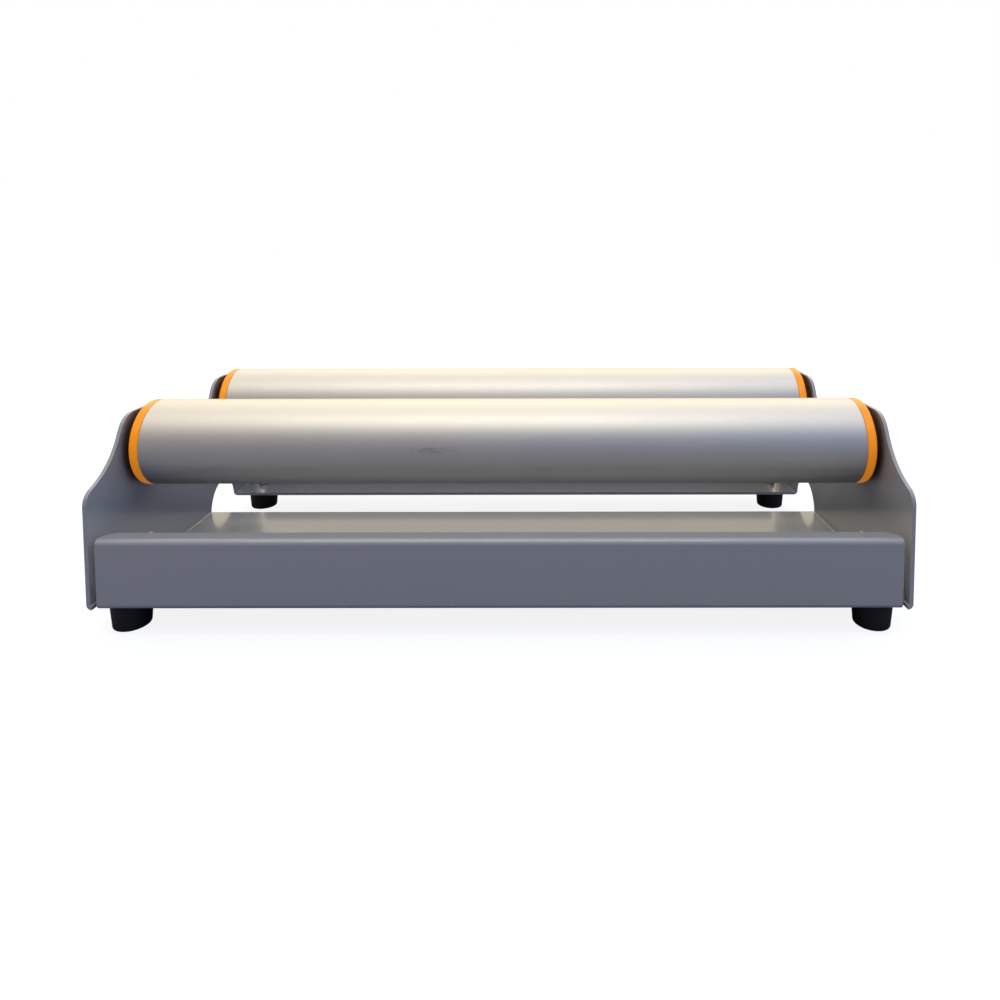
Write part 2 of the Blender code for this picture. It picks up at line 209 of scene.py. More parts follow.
BEND_MID = BEND_OUTER - SHEET / 2
BEND_ARC = BEND_MID * math.pi / 2
SIDE_LINE = HALF_WIDTH - BEND_OUTER
LIP_LINE = HALF_DEPTH - BEND_OUTER
LIP_FLAT = LIP_HEIGHT - 2 * BEND_OUTER


# --------------------------------------------------------------- mesh helpers

def workpiece(name, mesh):
    item = bpy.data.objects.new(name, mesh)
    bpy.context.scene.collection.objects.link(item)
    return item


def round_bar(name, radius, depth, segments, location, turn=(0, 0, 0)):
    """A hidden bar along its own Z, used to cut holes."""
    mesh = bpy.data.meshes.new(name)
    shape = bmesh.new()
    bmesh.ops.create_cone(shape, cap_ends=True, segments=segments,
                          radius1=radius, radius2=radius, depth=depth)
    shape.to_mesh(mesh)
    shape.free()
    bar = workpiece(name, mesh)
    bar.location = location
    bar.rotation_euler = turn
    bar.hide_render = True
    return bar


def combine(item, tool, operation="DIFFERENCE"):
    step = item.modifiers.new(tool.name, "BOOLEAN")
    step.operation = operation
    step.object = tool
    step.solver = "EXACT"


def round_edges(item, width, segments=2, angle=35):
    step = item.modifiers.new("rounded edges", "BEVEL")
    step.width = width
    step.segments = segments
    step.limit_method = "ANGLE"
    step.angle_limit = math.radians(angle)
    step.use_clamp_overlap = True


def finished_mesh(item, tools=(), sharp=50):
    """The workpiece's shape with its modifiers applied; the workpiece is removed."""
    bpy.context.view_layer.update()
    graph = bpy.context.evaluated_depsgraph_get()
    mesh = bpy.data.meshes.new_from_object(item.evaluated_get(graph))
    mesh.name = item.name
    mesh.materials.clear()
    mesh.shade_smooth()
    mesh.set_sharp_from_angle(angle=math.radians(sharp))
    for used in (item, *tools):
        bpy.data.objects.remove(used)
    return mesh


def soften(corners, closed=True, steps=4):
    """Outline with each corner (x, y, rounding) turned into a short curve."""
    outline = []
    count = len(corners)
    for index, (x, y, rounding) in enumerate(corners):
        spot = Vector((x, y))
        end = not closed and index in (0, count - 1)
        if rounding == 0 or end:
            outline.append(spot)
            continue
        before = Vector(corners[index - 1][:2]) - spot
        after = Vector(corners[(index + 1) % count][:2]) - spot
        start = spot + before.normalized() * min(rounding, before.length * 0.45)
        finish = spot + after.normalized() * min(rounding, after.length * 0.45)
        for step in range(steps + 1):
            share = step / steps
            outline.append(start * (1 - share) ** 2 + spot * 2 * share * (1 - share)
                           + finish * share ** 2)
    return outline


def turned(name, outline, steps, closed=True):
    """Workpiece swept right round Z from (radius, height) points."""
    mesh = bpy.data.meshes.new(name)
    edges = [(i, i + 1) for i in range(len(outline) - 1)]
    if closed:
        edges.append((len(outline) - 1, 0))
    mesh.from_pydata([(point[0], 0, point[1]) for point in outline], edges, [])
    item = workpiece(name, mesh)
    sweep = item.modifiers.new("turn", "SCREW")
    sweep.steps = steps
    sweep.render_steps = steps
    sweep.use_merge_vertices = True
    sweep.merge_threshold = 0.000001
    return item


def ring(name, inner, outer, low, high, edge, steps):
    """Plain tube with its four corners eased."""
    corners = [(outer, high, edge), (outer, low, edge), (inner, low, edge), (inner, high, edge)]
    return finished_mesh(turned(name, soften(corners), steps))


def flat_shading(piece):
    """Keep broad flats flat where they meet a small rounded edge."""
    step = piece.modifiers.new("even shading", "WEIGHTED_NORMAL")
    step.keep_sharp = True


def stand_for(node, mesh, finish, spot, facing=ABOVE):
    """Put a finished mesh in its CAD node's place, its own +Z facing this way."""
    piece = workpiece("finished_" + node, mesh)
    if not mesh.materials:
        mesh.materials.append(finish)
    piece.location = spot
    piece.rotation_euler = ABOVE.rotation_difference(facing).to_euler()
    flat_shading(piece)
    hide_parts(node)
    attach(piece, frame["nodes"][node]["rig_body"])


# -------------------------------------------------------------- shader helpers

def add(tree, kind, settings=None, **inputs):
    """New node. An input is a value or a socket; in0, in1... go by position."""
    made = tree.nodes.new("ShaderNode" + kind)
    for name, value in (settings or {}).items():
        setattr(made, name, value)
    for name, value in inputs.items():
        by_place = name.startswith("in") and name[2:].isdigit()
        socket = made.inputs[int(name[2:]) if by_place else name.replace("_", " ")]
        if isinstance(value, bpy.types.NodeSocket):
            tree.links.new(value, socket)
        else:
            socket.default_value = value
    return made


def number(tree, operation, *values):
    settings = {"operation": operation}
    inputs = {"in%d" % place: value for place, value in enumerate(values)}
    return add(tree, "Math", settings, **inputs).outputs[0]


def blend(tree, share, first, second):
    """Mix of two colours."""
    mix = add(tree, "Mix", {"data_type": "RGBA"}, in0=share, in6=first, in7=second)
    return mix.outputs[2]


def ramp(tree, value, low, high, start=0.0, end=1.0):
    """Smooth change from start to end while the value goes from low to high."""
    settings = {"interpolation_type": "SMOOTHSTEP"}
    made = add(tree, "MapRange", settings, in0=value, in1=low, in2=high, in3=start, in4=end)
    return made.outputs[0]


def noise(tree, where, scale, detail=2.0, rough=0.5, distortion=0.0):
    made = add(tree, "TexNoise", Vector=where, Scale=scale, Detail=detail,
               Roughness=rough, Distortion=distortion)
    return made.outputs[0]


def local_place(tree):
    """Where on the piece, in the piece's own metres."""
    return add(tree, "TexCoord").outputs["Object"]


def new_group(name, inputs, outputs):
    """Shader group; inputs are (name, kind, value), outputs are (name, kind)."""
    tree = bpy.data.node_groups.new(name, "ShaderNodeTree")
    for label, kind, value in inputs:
        socket = tree.interface.new_socket(label, in_out="INPUT", socket_type="NodeSocket" + kind)
        socket.default_value = value
    for label, kind in outputs:
        tree.interface.new_socket(label, in_out="OUTPUT", socket_type="NodeSocket" + kind)
    return tree, tree.nodes.new("NodeGroupInput").outputs, tree.nodes.new("NodeGroupOutput").inputs


def use(tree, group, **inputs):
    made = tree.nodes.new("ShaderNodeGroup")
    made.node_tree = group
    for name, value in inputs.items():
        socket = made.inputs[name.replace("_", " ")]
        if isinstance(value, bpy.types.NodeSocket):
            tree.links.new(value, socket)
        else:
            socket.default_value = value
    return made.outputs


# --------------------------------------------------------------- shader groups

def cloudy_colour():
    """Colour that drifts a little lighter and darker over the surface."""
    tree, given, out = new_group(
        "cloudy colour",
        [("Colour", "Color", (0.5, 0.5, 0.5, 1)), ("Depth", "Float", 0.1),
         ("Patch Scale", "Float", 12.0), ("Speck Scale", "Float", 900.0)],
        [("Colour", "Color")])
    where = local_place(tree)
    patches = noise(tree, where, given["Patch Scale"], 4, 0.6)
    specks = noise(tree, where, given["Speck Scale"], 1)
    both = number(tree, "ADD", number(tree, "MULTIPLY", patches, 0.65),
                  number(tree, "MULTIPLY", specks, 0.35))
    swing = number(tree, "MULTIPLY", number(tree, "SUBTRACT", both, 0.5), given["Depth"])
    gain = number(tree, "ADD", 1.0, number(tree, "MULTIPLY", swing, 4.0))
    shaded = add(tree, "VectorMath", {"operation": "SCALE"}, in0=given["Colour"], Scale=gain)
    tree.links.new(shaded.outputs[0], out["Colour"])
    return tree


def worn_edges():
    """Mask of the outside edges, broken up where hands and tools reach them."""
    tree, given, out = new_group(
        "worn edges",
        [("Width", "Float", 0.0008), ("Breakup Scale", "Float", 60.0)],
        [("Mask", "Float")])
    soft = add(tree, "Bevel", {"samples": 4}, Radius=given["Width"]).outputs[0]
    flat = add(tree, "NewGeometry").outputs["True Normal"]
    same = add(tree, "VectorMath", {"operation": "DOT_PRODUCT"}, in0=soft, in1=flat)
    edge = ramp(tree, number(tree, "SUBTRACT", 1.0, same.outputs["Value"]), 0.01, 0.16)
    broken = ramp(tree, noise(tree, local_place(tree), given["Breakup Scale"], 5, 0.65), 0.35, 0.62)
    tree.links.new(number(tree, "MULTIPLY", edge, broken), out["Mask"])
    return tree


def handled_roughness():
    """Roughness with cloudy smears and finger marks."""
    tree, given, out = new_group(
        "handled roughness",
        [("Roughness", "Float", 0.4), ("Spread", "Float", 0.1), ("Scale", "Float", 14.0)],
        [("Roughness", "Float")])
    where = local_place(tree)
    smears = noise(tree, where, given["Scale"], 5, 0.62, 0.6)
    marks = noise(tree, where, number(tree, "MULTIPLY", given["Scale"], 9.0), 2, 0.5)
    both = number(tree, "ADD", number(tree, "MULTIPLY", smears, 0.7),
                  number(tree, "MULTIPLY", marks, 0.3))
    swing = number(tree, "MULTIPLY", number(tree, "SUBTRACT", both, 0.5), given["Spread"])
    rough = number(tree, "ADD", given["Roughness"], number(tree, "MULTIPLY", swing, 3.0))
    tree.links.new(rough, out["Roughness"])
    return tree


def grained_skin():
    """Height of a fine skin: broad ripple of sprayed or moulded surfaces plus fine grit."""
    tree, given, out = new_group(
        "grained skin",
        [("Ripple Scale", "Float", 420.0), ("Grit Scale", "Float", 2200.0),
         ("Grit Share", "Float", 0.3)],
        [("Height", "Float")])
    where = local_place(tree)
    ripple = noise(tree, where, given["Ripple Scale"], 1, 0.4)
    grit = noise(tree, where, given["Grit Scale"], 2)
    share = number(tree, "MULTIPLY", grit, given["Grit Share"])
    tree.links.new(number(tree, "ADD", ripple, share), out["Height"])
    return tree


def drawn_lines():
    """Fine lines along the piece's own Z, as a drawing die leaves them."""
    tree, given, out = new_group(
        "drawn lines",
        [("Fineness", "Float", 1500.0), ("Run", "Float", 12.0)],
        [("Height", "Float")])
    where = add(tree, "Mapping", Vector=local_place(tree))
    reach = add(tree, "CombineXYZ", X=given["Fineness"], Y=given["Fineness"], Z=given["Run"])
    tree.links.new(reach.outputs[0], where.inputs["Scale"])
    fine = noise(tree, where.outputs[0], 1.0, 3, 0.6)
    broad = noise(tree, where.outputs[0], 0.22, 2)
    both = number(tree, "ADD", number(tree, "MULTIPLY", fine, 0.6),
                  number(tree, "MULTIPLY", broad, 0.4))
    tree.links.new(both, out["Height"])
    return tree


def hairline_scratches():
    """Sparse thin scratches that lie in bands across the surface."""
    tree, given, out = new_group(
        "hairline scratches",
        [("Length Scale", "Float", 26.0), ("Thinness", "Float", 40.0), ("Amount", "Float", 0.5)],
        [("Mask", "Float")])
    tilted = add(tree, "Mapping", Vector=local_place(tree), Rotation=(0.3, 0.5, 0.2))
    reach = add(tree, "CombineXYZ", Z=given["Length Scale"])
    across = number(tree, "MULTIPLY", given["Length Scale"], given["Thinness"])
    tree.links.new(across, reach.inputs["X"])
    tree.links.new(across, reach.inputs["Y"])
    tree.links.new(reach.outputs[0], tilted.inputs["Scale"])
    line = noise(tree, tilted.outputs[0], 1.0, 0)
    near = number(tree, "ABSOLUTE", number(tree, "SUBTRACT", line, 0.5))
    thin = ramp(tree, near, 0.0, 0.012, 1.0, 0.0)
    patch = noise(tree, local_place(tree), 22.0, 3, 0.6)
    lowered = number(tree, "MULTIPLY", given["Amount"], 0.3)
    where = ramp(tree, patch, number(tree, "SUBTRACT", 0.78, lowered), 0.8)
    tree.links.new(number(tree, "MULTIPLY", thin, where), out["Mask"])
    return tree


def shaded_gaps():
    """Mask of what is closed in, for painted shade: narrow gaps with a short reach, wider shade with
    a long one.
    """
    tree, given, out = new_group("shaded gaps", [("Reach", "Float", 0.01)], [("Mask", "Float")])
    openness = add(tree, "AmbientOcclusion", {"samples": 8}, Distance=given["Reach"])
    tree.links.new(ramp(tree, openness.outputs["AO"], 0.15, 0.65, 1.0, 0.0), out["Mask"])
    return tree


def rubbed_patch():
    """Broken mask of a patch where something has leant and rubbed."""
    tree, given, out = new_group(
        "rubbed patch",
        [("Middle", "Vector", (0, 0, 0)), ("Reach", "Vector", (0.02, 0.02, 0.02)),
         ("Speck Scale", "Float", 900.0)],
        [("Mask", "Float")])
    away = add(tree, "VectorMath", {"operation": "SUBTRACT"}, in0=local_place(tree),
               in1=given["Middle"])
    shares = add(tree, "VectorMath", {"operation": "DIVIDE"}, in0=away.outputs[0],
                 in1=given["Reach"])
    far = add(tree, "VectorMath", {"operation": "LENGTH"}, in0=shares.outputs[0])
    inside = ramp(tree, far.outputs["Value"], 0.2, 1.0, 1.0, 0.0)
    drawn_out = add(tree, "Mapping", Vector=local_place(tree), Scale=(1, 1, 0.25)).outputs[0]
    broken = noise(tree, drawn_out, given["Speck Scale"], 4, 0.7)
    smear = noise(tree, drawn_out, number(tree, "MULTIPLY", given["Speck Scale"], 0.12), 3)
    rubbed = ramp(tree, number(tree, "MULTIPLY", broken, smear), 0.24, 0.34)
    tree.links.new(number(tree, "MULTIPLY", inside, rubbed), out["Mask"])
    return tree


def settled_dust():
    """Mask of light dust on what faces up."""
    tree, given, out = new_group(
        "settled dust", [("Amount", "Float", 0.2), ("Scale", "Float", 30.0)], [("Mask", "Float")])
    up = add(tree, "SeparateXYZ", in0=add(tree, "NewGeometry").outputs["Normal"]).outputs["Z"]
    lying = ramp(tree, up, 0.55, 0.98)
    drift = ramp(tree, noise(tree, local_place(tree), given["Scale"], 6, 0.7), 0.35, 0.75)
    mask = number(tree, "MULTIPLY", number(tree, "MULTIPLY", lying, drift), given["Amount"])
    tree.links.new(mask, out["Mask"])
    return tree


GROUPS = {
    "cloudy": cloudy_colour(),
    "edges": worn_edges(),
    "handled": handled_roughness(),
    "skin": grained_skin(),
    "drawn": drawn_lines(),
    "scratches": hairline_scratches(),
    "rubbed": rubbed_patch(),
    "gaps": shaded_gaps(),
    "dust": settled_dust(),
}


# ------------------------------------------------------------------- materials

def new_material(name):
    material = bpy.data.materials.new(name)
    material.use_nodes = True
    tree = material.node_tree
    return material, tree, tree.nodes["Principled BSDF"].inputs


def bump(tree, shader, height, distance):
    lifted = add(tree, "Bump", Height=height, Distance=distance)
    tree.links.new(lifted.outputs[0], shader["Normal"])


def powder_coat():
    """Satin slate grey powder coat with a soft orange-peel ripple."""
    material, tree, shader = new_material("slate powder coat")
    fresh = use(tree, GROUPS["cloudy"], Colour=SLATE_PAINT, Depth=0.012,
                Patch_Scale=9.0, Speck_Scale=1100.0)["Colour"]
    # Painted shade: narrow gaps and inside corners are darkened almost to black
    gaps = use(tree, GROUPS["gaps"], Reach=0.02)["Mask"]
    paint = blend(tree, number(tree, "MULTIPLY", gaps, 0.97), fresh, PAINTED_GAP_SHADE)
    edges = use(tree, GROUPS["edges"], Width=0.0009, Breakup_Scale=45.0)["Mask"]
    thin_paint = blend(tree, number(tree, "MULTIPLY", edges, 0.35), paint, THIN_PAINT)
    dust = use(tree, GROUPS["dust"], Amount=0.05, Scale=26.0)["Mask"]
    tree.links.new(blend(tree, dust, thin_paint, PALE_DUST), shader["Base Color"])
    rough = use(tree, GROUPS["handled"], Roughness=0.22, Spread=0.018, Scale=11.0)["Roughness"]
    dull = number(tree, "ADD", number(tree, "MULTIPLY", dust, 0.6),
                  number(tree, "MULTIPLY", gaps, 0.5))
    dusty = number(tree, "ADD", rough, dull)
    tree.links.new(dusty, shader["Roughness"])
    skin = use(tree, GROUPS["skin"], Ripple_Scale=420.0, Grit_Scale=2400.0, Grit_Share=0.22)
    shader["IOR"].default_value = 1.6
    shader["Coat Weight"].default_value = 0.7
    shader["Coat Roughness"].default_value = 0.1
    bump(tree, shader, skin["Height"], 0.000012)
    return material


def drawn_aluminium():
    """Satin tube with die lines along its length and light handling marks."""
    material, tree, shader = new_material("satin drawn aluminium")
    metal = use(tree, GROUPS["cloudy"], Colour=SATIN_METAL, Depth=0.02,
                Patch_Scale=16.0, Speck_Scale=700.0)["Colour"]
    marks = use(tree, GROUPS["scratches"], Length_Scale=24.0, Thinness=30.0, Amount=0.55)["Mask"]
    scratched = blend(tree, number(tree, "MULTIPLY", marks, 0.35), metal, METAL_SCRATCH)
    rubbed = use(tree, GROUPS["rubbed"], Middle=TUBE_SCUFF, Reach=TUBE_SCUFF_REACH,
                 Speck_Scale=700.0)["Mask"]
    scuffed = blend(tree, number(tree, "MULTIPLY", rubbed, 0.5), scratched, METAL_SCUFF)
    # Painted shade, not a darker metal: a bake at rest fixes it to the tube
    below = use(tree, GROUPS["gaps"], Reach=TUBE_SHADE_REACH)["Mask"]
    share = number(tree, "MULTIPLY", below, TUBE_SHADE_DEPTH)
    shaded = blend(tree, share, scuffed, TUBE_SHADE)
    tree.links.new(shaded, shader["Base Color"])
    shader["Metallic"].default_value = 1.0
    lines = use(tree, GROUPS["drawn"], Fineness=1300.0, Run=9.0)["Height"]
    rough = use(tree, GROUPS["handled"], Roughness=0.5, Spread=0.04, Scale=18.0)["Roughness"]
    grained = number(tree, "ADD", rough, number(tree, "MULTIPLY", lines, 0.05))
    tree.links.new(grained, shader["Roughness"])
    bump(tree, shader, number(tree, "SUBTRACT", lines, marks), 0.000006)
    return material


def moulded_orange():
    """Glossy moulded end cap."""
    material, tree, shader = new_material("moulded orange")
    colour = use(tree, GROUPS["cloudy"], Colour=ORANGE, Depth=0.03,
                 Patch_Scale=30.0, Speck_Scale=1400.0)["Colour"]
    edges = use(tree, GROUPS["edges"], Width=0.0006, Breakup_Scale=90.0)["Mask"]
    rubbed = blend(tree, number(tree, "MULTIPLY", edges, 0.3), colour, RUBBED_ORANGE)
    tree.links.new(rubbed, shader["Base Color"])
    rough = use(tree, GROUPS["handled"], Roughness=0.24, Spread=0.07, Scale=40.0)["Roughness"]
    tree.links.new(rough, shader["Roughness"])
    shader["Specular IOR Level"].default_value = 0.35
    # Painted glow: the caps give off orange light of their own, seen by the camera only
    shader["Emission Color"].default_value = PAINTED_GLOW_ORANGE
    seen = add(tree, "LightPath").outputs["Is Camera Ray"]
    tree.links.new(number(tree, "MULTIPLY", seen, PAINTED_CAP_GLOW), shader["Emission Strength"])
    shader["Coat Weight"].default_value = 0.3
    shader["Coat Roughness"].default_value = 0.08
    skin = use(tree, GROUPS["skin"], Ripple_Scale=300.0, Grit_Scale=3000.0, Grit_Share=0.15)
    bump(tree, shader, skin["Height"], 0.00001)
    return material


def plated_steel():
    """Zinc-plated screws, nuts, washers and axles."""
    material, tree, shader = new_material("zinc plated steel")
    plate = use(tree, GROUPS["cloudy"], Colour=ZINC_PLATE, Depth=0.06,
                Patch_Scale=180.0, Speck_Scale=2500.0)["Colour"]
    edges = use(tree, GROUPS["edges"], Width=0.0003, Breakup_Scale=300.0)["Mask"]
    bright = blend(tree, number(tree, "MULTIPLY", edges, 0.5), plate, BRIGHT_ZINC)
    tree.links.new(bright, shader["Base Color"])
    shader["Metallic"].default_value = 1.0
    rough = use(tree, GROUPS["handled"], Roughness=0.32, Spread=0.12, Scale=160.0)["Roughness"]
    tree.links.new(rough, shader["Roughness"])
    lines = use(tree, GROUPS["drawn"], Fineness=2600.0, Run=900.0)["Height"]
    bump(tree, shader, lines, 0.000006)
    return material


def ground_steel():
    """Bearing races and balls."""
    material, tree, shader = new_material("ground bearing steel")
    steel = use(tree, GROUPS["cloudy"], Colour=BEARING_STEEL, Depth=0.03,
                Patch_Scale=120.0, Speck_Scale=1800.0)["Colour"]
    tree.links.new(steel, shader["Base Color"])
    shader["Metallic"].default_value = 1.0
    rough = use(tree, GROUPS["handled"], Roughness=0.2, Spread=0.06, Scale=150.0)["Roughness"]
    tree.links.new(rough, shader["Roughness"])
    lines = use(tree, GROUPS["drawn"], Fineness=900.0, Run=3000.0)["Height"]
    bump(tree, shader, lines, 0.000002)
    return material


def foot_rubber():
    """Black rubber with a dry bloom and grey scuffed edges."""
    material, tree, shader = new_material("black foot rubber")
    rubber = use(tree, GROUPS["cloudy"], Colour=RUBBER_BLACK, Depth=0.12,
                 Patch_Scale=120.0, Speck_Scale=1500.0)["Colour"]
    edges = use(tree, GROUPS["edges"], Width=0.0008, Breakup_Scale=220.0)["Mask"]
    scuffed = blend(tree, number(tree, "MULTIPLY", edges, 0.16), rubber, RUBBER_SCUFF)
    tree.links.new(scuffed, shader["Base Color"])
    rough = use(tree, GROUPS["handled"], Roughness=0.56, Spread=0.12, Scale=90.0)["Roughness"]
    tree.links.new(rough, shader["Roughness"])
    skin = use(tree, GROUPS["skin"], Ripple_Scale=900.0, Grit_Scale=3200.0, Grit_Share=0.6)
    bump(tree, shader, skin["Height"], 0.00003)
    return material


# --------------------------------------------------------------------- chassis

def trace(start, heading, moves):
    """Follow straight runs (length, 0) and arcs (radius, turn in degrees)."""
    spot = Vector(start)
    heading = math.radians(heading)
    points = [spot.copy()]
    for size, turn in moves:
        steps = max(1, round(abs(turn) / ARC_STEP))
        step = math.radians(turn) / steps
        stride = 2 * size * math.sin(abs(step) / 2) if turn else size
        for _ in range(steps):
            heading += step / 2
            spot += stride * Vector((math.cos(heading), math.sin(heading)))
            heading += step / 2
            points.append(spot.copy())
    return points


def plate_outline():
    """Front half of a side plate's free edge, (y, height), up to its mid-saddle."""
    climb = [(SHOULDER_RADIUS, SHOULDER_SLOPE - 90), (SHOULDER_RUN, 0),
             (FLARE_RADIUS, EAR_SLOPE - SHOULDER_SLOPE), (EAR_RUN, 0),
             (EAR_RADIUS, -EAR_SLOPE)]
    start = (-HALF_DEPTH, SHOULDER_HEIGHT)
    rising = trace(start, 90, climb)
    ear_top = 2 * (AXIS["front"].y - rising[-1].x)
    fall = climb + [(ear_top, 0), (EAR_RADIUS, -EAR_SLOPE), (EAR_RUN, 0)]
    ear_foot = trace(start, 90, fall)[-1]
    saddle_radius = -ear_foot.x / math.sin(math.radians(EAR_SLOPE))
    return trace(start, 90, fall + [(saddle_radius, EAR_SLOPE)])


def quarter_blank():
    """A quarter of the flat sheet in two faces, (across, along), before folding."""
    lip_end = LIP_LINE + 2 * BEND_ARC + LIP_FLAT + LIP_RETURN - BEND_OUTER
    relief_start = (LIP_HALF_WIDTH, RELIEF_DEPTH - HALF_DEPTH)
    relief_radius = (SIDE_LINE - LIP_HALF_WIDTH) / 2
    relief_top = [(relief_radius, -90), (relief_radius, 0)]
    floor_and_lip = [Vector((0, 0)), Vector((0, -lip_end))]
    floor_and_lip += trace((LIP_HALF_WIDTH - LIP_CORNER, -lip_end), 0, [(LIP_CORNER, 90)])
    floor_and_lip += trace(relief_start, 90, relief_top)
    fold_start = floor_and_lip[-1].copy()
    floor_and_lip.append(Vector((SIDE_LINE, 0)))
    unfold = SIDE_LINE + BEND_ARC - BEND_OUTER
    wing = [fold_start, Vector((SIDE_LINE, -HALF_DEPTH))]
    wing += [Vector((unfold + height, y)) for y, height in plate_outline()]
    wing[-1].y = 0
    wing.append(Vector((SIDE_LINE, 0)))
    return floor_and_lip, wing


def fold_up(past):
    """(out, up) of a point that lies this far past a bend's first edge."""
    if past < BEND_ARC:
        angle = past / BEND_MID
        return BEND_MID * math.sin(angle), BEND_MID * (1 - math.cos(angle))
    return BEND_MID, BEND_MID + past - BEND_ARC


def fold_lip(past):
    """As fold_up, with the lip's return folded back in at the top."""
    out, up = fold_up(past)
    top_bend = BEND_MID + LIP_FLAT
    if up <= top_bend:
        return out, up
    out, up = fold_up(up - top_bend)
    return BEND_MID - up, top_bend + out


def flat_face(outline, lines, direction):
    """One flat face, cut across at each step of the bends that start at these lines."""
    sheet = bmesh.new()
    sheet.faces.new([sheet.verts.new((*point, 0)) for point in outline])
    for line in lines:
        for step in range(BEND_STEPS + 1):
            spot = Vector(direction) * (line + BEND_ARC * step / BEND_STEPS)
            everything = sheet.verts[:] + sheet.edges[:] + sheet.faces[:]
            bmesh.ops.bisect_plane(sheet, geom=everything, dist=1e-7,
                                   plane_co=spot, plane_no=direction)
    return sheet


def folded_quarter():
    """A quarter of the chassis's middle surface, folded."""
    floor_and_lip, wing = quarter_blank()
    middle = FLOOR_Z + SHEET / 2
    sheet = flat_face(floor_and_lip, [LIP_LINE, LIP_LINE + BEND_ARC + LIP_FLAT], (0, -1, 0))
    for vert in sheet.verts:
        out, up = fold_lip(max(0, -LIP_LINE - vert.co.y))
        vert.co.y = max(vert.co.y, -LIP_LINE) - out
        vert.co.z = middle + up
    side = flat_face(wing, [SIDE_LINE], (1, 0, 0))
    for vert in side.verts:
        out, up = fold_up(max(0, vert.co.x - SIDE_LINE))
        vert.co.x = SIDE_LINE + out
        vert.co.z = middle + up
    mesh = bpy.data.meshes.new("folded_quarter")
    side.to_mesh(mesh)
    side.free()
    sheet.from_mesh(mesh)
    bmesh.ops.remove_doubles(sheet, verts=sheet.verts[:], dist=0.000002)
    sheet.to_mesh(mesh)
    sheet.free()
    return mesh


def chassis_holes():
    """Bars that cut the floor slot and every screw hole."""
    across = (0, math.pi / 2, 0)
    long = 4 * HALF_WIDTH
    bars = [round_bar("floor_slot", FLOOR_SLOT_RADIUS, long, 96, (0, FLOOR_SLOT_Y, FLOOR_Z), across)]
    for row in ROWS:
        bars.append(round_bar("axle_hole_" + row, AXLE_SCREW["shank"] + 2 * GAP, long,
                              AROUND_SMALL, AXIS[row], across))
    side_hole = (0, AXIS["front"].y, FLOOR_Z + SIDE_SCREW_HEIGHT)
    bars.append(round_bar("side_hole", SIDE_SCREW["shank"] + 2 * GAP, long,
                          AROUND_SMALL, side_hole, across))
    for row, label in CORNERS:
        above_foot = box_face("foot_%s_%s" % (row, label), ABOVE)
        bars.append(round_bar("foot_hole", FOOT_SCREW["shank"] + 2 * GAP, 4 * SHEET,
                              AROUND_SMALL, above_foot))
    return bars


def make_chassis(paint):
    item = workpiece("chassis_sheet", folded_quarter())
    mirror = item.modifiers.new("halves", "MIRROR")
    mirror.use_axis = (True, True, False)
    mirror.merge_threshold = 0.00001
    thick = item.modifiers.new("sheet", "SOLIDIFY")
    thick.thickness = SHEET
    thick.offset = 0
    thick.use_even_offset = True
    bars = chassis_holes()
    for bar in bars:
        combine(item, bar)
    round_edges(item, PAINTED_EDGE)
    stand_for("chassis", finished_mesh(item, bars), paint, (0, 0, 0))


# --------------------------------------------------------------------- rollers

def cap_corners():
    """Half-section of an end cap, (radius, height, rounding), hub face at height 0."""
    hub_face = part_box("end_cap_front_right")[1].x
    spigot_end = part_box("end_cap_front_right")[0].x - hub_face
    face = CAP_FACE - hub_face
    shoulder = TUBE_LENGTH / 2 + GAP - hub_face
    seat_end = SEAT_END - hub_face
    spigot = ROLLER_RADIUS - TUBE_WALL - GAP
    hub_bore = box_size("axle_spacer_front_right").z / 2 + 4 * GAP
    ease = METAL_EDGE
    outside = [(HUB_RADIUS, 0, 2 * ease), (HUB_RADIUS, face, 2 * ease),
               (ROLLER_RADIUS, face, CAP_RIM), (ROLLER_RADIUS, shoulder, ease)]
    inside = [(spigot, shoulder, 0), (spigot, spigot_end, 2 * ease),
              (spigot - CAP_WALL, spigot_end, ease), (spigot - CAP_WALL, face - CAP_WEB, 2 * ease),
              (SEAT_RADIUS + SEAT_WALL, face - CAP_WEB, 2 * ease),
              (SEAT_RADIUS + SEAT_WALL, spigot_end, ease), (SEAT_RADIUS, spigot_end, ease),
              (SEAT_RADIUS, seat_end, 0), (hub_bore, seat_end, 0), (hub_bore, 0, ease)]
    return outside + inside


def make_rollers(aluminium, orange):
    tube = ring("tube", ROLLER_RADIUS - TUBE_WALL, ROLLER_RADIUS,
                -TUBE_LENGTH / 2, TUBE_LENGTH / 2, TUBE_EDGE, AROUND_ROLLER)
    cap = finished_mesh(turned("cap", soften(cap_corners(), steps=8), AROUND_CAP))
    for row in ROWS:
        stand_for(row + "_roller_tube", tube, aluminium, AXIS[row], outward(1))
        for label, side in SIDES.items():
            node = "end_cap_%s_%s" % (row, label)
            stand_for(node, cap, orange, box_face(node, outward(side)),
                      outward(side))


# ---------------------------------------------------------------- fastenings

def threaded(shank, start, end):
    """Ridges down a shank, (radius, height, rounding)."""
    corners = [(shank, start, 0)]
    height = start
    while height - THREAD_PITCH > end + THREAD_PITCH:
        for share, depth in RIDGE:
            corners.append((shank - depth, height - share * THREAD_PITCH, 0))
        height -= THREAD_PITCH
    corners += [(shank, end + 2 * THREAD_DEPTH, 0), (shank - 2 * THREAD_DEPTH, end, 0)]
    return corners + [(0, end, 0)]


